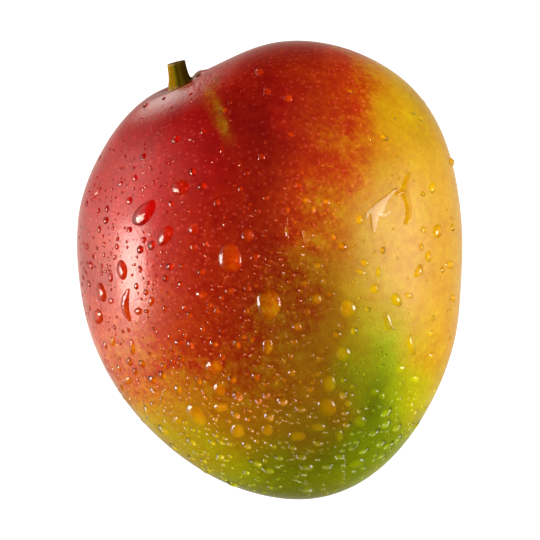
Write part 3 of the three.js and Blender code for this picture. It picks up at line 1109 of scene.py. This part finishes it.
def plan_axes(fruit, n, width, length, turn):
    """Half axes on the skin whose plan is an ellipse of this width and length, turned from +Y, as long on the
    skin's own slope as they have to be for it."""
    normal = skin_normal(fruit, n)
    a = np.radians(turn)
    slope = np.maximum(normal[:, 2:], 0.25)
    plan_x = np.stack([np.cos(a), np.sin(a), 0 * a], -1)
    plan_y = np.stack([-np.sin(a), np.cos(a), 0 * a], -1)
    axes = []
    for plan, size in ((plan_x, width), (plan_y, length)):
        drop = -(plan[:, :2] * normal[:, :2]).sum(-1, keepdims=True) / slope
        axes.append((plan + drop * np.array([0, 0, 1.0])) * (size / 2)[:, None])
    return axes


def skin_axes(fruit, n, radius, stretch, turn):
    """Half axes on the skin of round drops stretched a little along a random turn."""
    normal = skin_normal(fruit, n)
    side = tangent(normal)
    up = np.cross(normal, side)
    c, s = np.cos(turn)[:, None], np.sin(turn)[:, None]
    across = (c * side + s * up) * (radius / stretch)[:, None]
    along = (c * up - s * side) * (radius * stretch)[:, None]
    return across, along


def make_large_drops(fruit, skin, water):
    """The drops that are placed one by one. Returns their places and reaches."""
    table = np.array([(*row, *[0.0] * (7 - len(row))) for row in LARGE_DROPS])
    x, y, width, length = table[:, :4].T * MM
    turn, taper, bend = table[:, 4:].T
    n = above(fruit, x, y)
    across, along = plan_axes(fruit, n, width, length, turn)
    sizes = [np.linalg.norm(axis, axis=-1) for axis in (across, along)]
    heights = cap_height(water, np.minimum(*sizes))
    materials = [water_material("water", bending=1.333, gloss=0.55, roughness=0.04), wet_skin_material(skin)]
    shapes = (n, across, along, heights, taper, bend)
    drops("large_drops", fruit, *shapes, water.seed, LARGE_TEMPLATE, 0.10, materials)
    return skin_point(fruit, n), np.maximum(*sizes)


def make_scattered_drops(fruit, water, taken):
    """The small and the fine drops that a seeded draw scatters between the large ones. Those of the foot are
    larger, taller and stretched along the outline, and are pieces of their own, since other lights shine on
    them."""
    places, reaches = taken
    rng = np.random.default_rng(water.seed + 7)
    materials = [bpy.data.materials["water"], bpy.data.materials["wet_skin"]]
    for name, (low, high, power, apart, template, wobble) in SCATTERED.items():
        tries, seed = getattr(water, name), water.seed + len(name)
        n, radius, points = scattered(fruit, tries, seed, low, high, power, (places, reaches), apart)
        foot = on_foot(points)
        stretch = rng.uniform(0.85, 1.2, len(n)) + 0.15 * foot
        turn = rng.uniform(0, math.pi, len(n)) * (1 - foot) + math.pi / 2 * foot
        across, along = skin_axes(fruit, n, radius, stretch, turn)
        heights = cap_height(water, radius) * rng.uniform(0.75, 1.1, len(n)) * (1 + 0.4 * foot)
        heights = heights * (0.45 + 0.55 * smooth(skin_normal(fruit, n)[:, 2], 0.1, 0.5))
        straight = np.zeros(len(n))  # no taper and no bend
        for part, chosen in ((name, foot < 0.5), (name + "_of_the_foot", foot >= 0.5)):
            shapes = [values[chosen] for values in (n, across, along, heights, straight, straight)]
            drops(part, fruit, *shapes, water.seed, template, wobble, materials)
        places = np.concatenate([places, points])
        reaches = np.concatenate([reaches, radius])


# ---------------------------------------------------------------- the stage


def softbox(name, location, target, width, height, radiance, roll):
    """A soft area light that faces a target, rolled in degrees and left out of reflections. Its power is
    radiance times pi times its area."""
    data = bpy.data.lights.new(name, "AREA")
    data.shape = "RECTANGLE"
    data.size, data.size_y = width, height
    data.energy = radiance * math.pi * width * height
    obj = bpy.data.objects.new(name, data)
    obj.location = location
    obj.rotation_euler = (Vector(target) - Vector(location)).to_track_quat("-Z", "Y").to_euler()
    obj.rotation_euler.rotate_axis("Z", math.radians(roll))
    obj.visible_glossy = False
    bpy.context.scene.collection.objects.link(obj)
    return obj


SOFT_LIGHTS = {  # place, what it faces, width, height, radiance, roll in degrees: what lights the colours
    "left_light": ((-0.19, -0.03, 0.100), (0, -0.03, 0.100), 0.13, 0.040, 14.0, 0),
    "left_light_low": ((-0.19, -0.02, 0.038), (0, -0.02, 0.038), 0.127, 0.07, 4.5, 0),
    "left_light_wide": ((-0.35, 0.13, 0.21), (0, 0.13, 0.21), 0.62, 0.42, 1.2, -12),
    "right_light": ((0.19, -0.01, 0.092), (0, -0.01, 0.092), 0.11, 0.026, 12.0, 0),
    "right_light_wide": ((0.35, -0.01, 0.22), (0, -0.01, 0.22), 0.28, 0.44, 2.2, 0),
}
SOFTBOXES = {  # seen in the gloss: side, brightness, share by height, share by bearing towards +Y in degrees
    "left box": (
        -1, 3.4,
        [(-90, 0.09), (-66, 0.13), (-48, 0.23), (-36, 0.36), (-24, 0.62), (-12, 0.95), (-4, 1.10), (6, 0.87),
         (16, 0.55), (28, 0.27), (38, 0.10), (46, 0.03), (56, 0.005), (90, 0.0)],
        [(-58, 0.0), (-48, 0.06), (-40, 0.17), (-31, 0.55), (-24, 0.88), (-16, 1.0), (4, 0.95), (12, 0.75),
         (20, 0.52), (28, 0.50), (36, 0.22), (46, 0.04), (56, 0.01), (70, 0.0)],
    ),
    "left core": (
        -1, 12.0,
        [(-7, 0.0), (-1, 0.7), (4, 1.0), (13, 1.0), (16.5, 0.0)],
        [(-24, 0.0), (-19, 0.7), (-14, 1.0), (2, 1.0), (7, 0.35), (12, 0.0)],
    ),
    "glow by the stalk": (
        -1, 3.0,
        [(-64, 0.0), (-54, 0.6), (-44, 1.0), (-33, 0.6), (-22, 0.1), (-12, 0.0)],
        [(40, 0.0), (49, 0.6), (56, 1.0), (62, 0.85), (67, 0.0)],
    ),
    "right box": (
        1, 2.6,
        [(-90, 0.03), (-66, 0.06), (-54, 0.11), (-42, 0.16), (-30, 0.22), (-18, 0.36), (-6, 0.64), (6, 0.92),
         (18, 1.02), (26, 0.95), (34, 0.74), (40, 0.42), (45, 0.13), (52, 0.02), (90, 0.0)],
        [(-38, 0.0), (-34, 0.005), (-27, 0.02), (-21, 0.15), (-15, 0.5), (-8, 0.9), (6, 1.0), (12, 0.85),
         (18, 0.40), (25, 0.15), (35, 0.03), (44, 0.0)],
    ),
    "right core": (
        1, 0.7,
        [(10, 0.0), (14, 1.0), (24, 1.0), (30, 0.0)],
        [(-15, 0.0), (-10, 1.0), (8, 1.0), (13, 0.0)],
    ),
}
GLINT_COLOUR = (1.0, 0.93, 0.74)
GLINT_LIGHTS = {  # lights that only water mirrors: bearing from +X, height, width, depth in degrees, radiance
    "left_glints": (189, 19, 26, 34, 30.0),
    "right_glints": (-7, 17, 26, 26, 24.0),
}
FOOT_GLINTS = {  # the same, for the small drops of the foot
    "left_foot_glints": (229, 12, 32, 18, 18.0),
    "right_foot_glints": (-49, 12, 32, 18, 16.0),
    "front_foot_glow": (270, 30, 90, 50, 1.8),
}
FILM_GLINTS = {  # the same, for the thin films
    "film_gloss": (2, 30, 50, 34, 4.4),
}
FLOOR_GLOW = [(-90, 0.56), (-78, 0.48), (-66, 0.31), (-54, 0.15), (-42, 0.06), (-28, 0.0)]
WARM = (1.0, 0.974, 0.87, 1)
WIDEST_PLANE = 0.0436  # its height, for the camera
FRAME_PIXELS = 540


def glint_light(name, bearing, height, width, depth, radiance, receivers):
    """A soft light, far out at a bearing and height, that shows only as glints in the given objects."""
    distance = 0.6
    middle = Vector((0, 0, 0.045))
    place = Vector(direction(bearing, height)) * distance
    size = [2 * distance * math.tan(math.radians(angle) / 2) for angle in (width, depth)]
    obj = softbox(name, middle + place, middle, *size, radiance, 0)
    obj.data.color = GLINT_COLOUR
    obj.visible_glossy = True
    obj.visible_diffuse = False
    obj.visible_transmission = False
    obj.light_linking.receiver_collection = receivers


def profile(tree, degrees, stops):
    """The share at an angle along stops of degrees and share, with straight lines between them."""
    low, high = -90, 90
    place = math_node(tree, "DIVIDE", math_node(tree, "SUBTRACT", degrees, low), high - low)
    stops = [((angle - low) / (high - low), (share, share, share)) for angle, share in stops]
    return ramp(tree, place, stops)


def gloss_sky(tree, base):
    """The brightness that reflections see: softboxes with soft edges, each its share by height times its
    share by bearing, over a dim even base and the floor's glow."""
    x, y, z = new_node(tree, "SeparateXYZ", {0: coordinates(tree)}).outputs
    height = math_node(tree, "DEGREES", math_node(tree, "ARCSINE", z))
    total = added(tree, profile(tree, height, FLOOR_GLOW), base)
    for side, brightness, heights, bearings in SOFTBOXES.values():
        outward = multiplied(tree, x, side)
        bearing = math_node(tree, "DEGREES", math_node(tree, "ARCTAN2", y, outward))
        in_front = math_node(tree, "GREATER_THAN", outward, 0)
        share = multiplied(tree, profile(tree, height, heights), profile(tree, bearing, bearings), in_front)
        total = added(tree, total, multiplied(tree, share, brightness))
    return total


def sky(stage):
    """An even pale sky for the camera and the colours, and softboxes over a dim sky in reflections."""
    world = bpy.data.worlds.new("sky")
    world.use_nodes = True
    tree = world.node_tree
    pale = tree.nodes["Background"]
    feed(tree, pale, {"Color": (1, 1, 1, 1), "Strength": stage.sky})
    glossy = new_node(tree, "Background", {"Color": WARM, "Strength": gloss_sky(tree, stage.sky_in_gloss)})
    shown = either(tree, ray_is(tree, "Glossy"), pale.outputs[0], glossy.outputs[0])
    feed(tree, tree.nodes["World Output"], {"Surface": shown})
    return world


def make_stage(stage):
    """The floor, the soft lights, an even sky and the camera that looks straight down."""
    half = stage.floor_size / 2
    corners = np.array([(-half, -half, 0), (half, -half, 0), (half, half, 0), (-half, half, 0)])
    mesh = bpy.data.meshes.new("floor")
    mesh.from_pydata(corners.tolist(), [], [(0, 1, 2, 3)])
    mesh.materials.append(floor_material())
    floor = bpy.data.objects.new("floor", mesh)
    bpy.context.scene.collection.objects.link(floor)
    for name, settings in SOFT_LIGHTS.items():
        softbox(name, *settings)
    water = [obj for obj in bpy.data.objects if "drops" in obj.name or obj.name == "runs"]
    foot = [obj for obj in water if obj.name.endswith("foot")]
    films = [bpy.data.objects["films"]]
    for group, pieces, lights in (
        ("drops", water, GLINT_LIGHTS),
        ("foot", foot, FOOT_GLINTS),
        ("films", films, FILM_GLINTS),
    ):
        receivers = bpy.data.collections.new(group)
        for piece in pieces:
            receivers.objects.link(piece)
        for name, settings in lights.items():
            glint_light(name, *settings, receivers)
    bpy.context.scene.world = sky(stage)
    camera = bpy.data.cameras.new("camera")
    camera.sensor_width = 36
    camera.lens = camera.sensor_width * stage.camera_height / stage.frame_width
    obj = bpy.data.objects.new("camera", camera)
    half_pixel = stage.frame_width / FRAME_PIXELS / 2
    obj.location = (-half_pixel, -half_pixel, WIDEST_PLANE + stage.camera_height)
    bpy.context.scene.collection.objects.link(obj)
    bpy.context.scene.camera = obj
    bpy.context.scene.view_settings.view_transform = "Standard"


# ---------------------------------------------------------------- operators, panel and the run


class MANGO_OT_fruit(Operator):
    """Builds the fruit's skin"""

    bl_idname = "mango.fruit"
    bl_label = "Fruit"

    def execute(self, context):
        make_fruit(context.scene.mango_fruit, context.scene.mango_skin)
        return {"FINISHED"}


class MANGO_OT_stalk(Operator):
    """Builds the stalk in its cup"""

    bl_idname = "mango.stalk"
    bl_label = "Stalk"

    def execute(self, context):
        make_stalk(context.scene.mango_fruit, context.scene.mango_stalk)
        return {"FINISHED"}


class MANGO_OT_water(Operator):
    """Builds the drops, runs and films of water"""

    bl_idname = "mango.water"
    bl_label = "Water"

    def execute(self, context):
        scene = context.scene
        taken = make_large_drops(scene.mango_fruit, scene.mango_skin, scene.mango_water)
        make_scattered_drops(scene.mango_fruit, scene.mango_water, taken)
        make_runs(scene.mango_fruit)
        return {"FINISHED"}


class MANGO_OT_stage(Operator):
    """Builds the floor, the lights and the camera"""

    bl_idname = "mango.stage"
    bl_label = "Stage"

    def execute(self, context):
        make_stage(context.scene.mango_stage)
        return {"FINISHED"}


SETTINGS = {
    "mango_fruit": MangoFruit,
    "mango_skin": MangoSkin,
    "mango_stalk": MangoStalk,
    "mango_water": MangoWater,
    "mango_stage": MangoStage,
}
OPERATORS = (MANGO_OT_fruit, MANGO_OT_stalk, MANGO_OT_water, MANGO_OT_stage)


class MANGO_PT_panel(Panel):
    """Lists the pieces and their settings"""

    bl_idname = "MANGO_PT_panel"
    bl_label = "Mango"
    bl_space_type = "VIEW_3D"
    bl_region_type = "UI"
    bl_category = "Mango"

    def draw(self, context):
        for operator in OPERATORS:
            self.layout.operator(operator.bl_idname)
        for key, group in SETTINGS.items():
            box = self.layout.box()
            for name in group.__annotations__:
                box.prop(getattr(context.scene, key), name)


def register():
    for group in SETTINGS.values():
        bpy.utils.register_class(group)
    for key, group in SETTINGS.items():
        setattr(bpy.types.Scene, key, PointerProperty(type=group))
    for cls in (*OPERATORS, MANGO_PT_panel):
        bpy.utils.register_class(cls)


def unregister():
    for cls in (MANGO_PT_panel, *OPERATORS):
        bpy.utils.unregister_class(cls)
    for key, group in SETTINGS.items():
        delattr(bpy.types.Scene, key)
        bpy.utils.unregister_class(group)


def main():
    """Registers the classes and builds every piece."""
    register()
    bpy.ops.mango.fruit()
    bpy.ops.mango.stalk()
    bpy.ops.mango.water()
    bpy.ops.mango.stage()


if __name__ == "__main__":
    main()
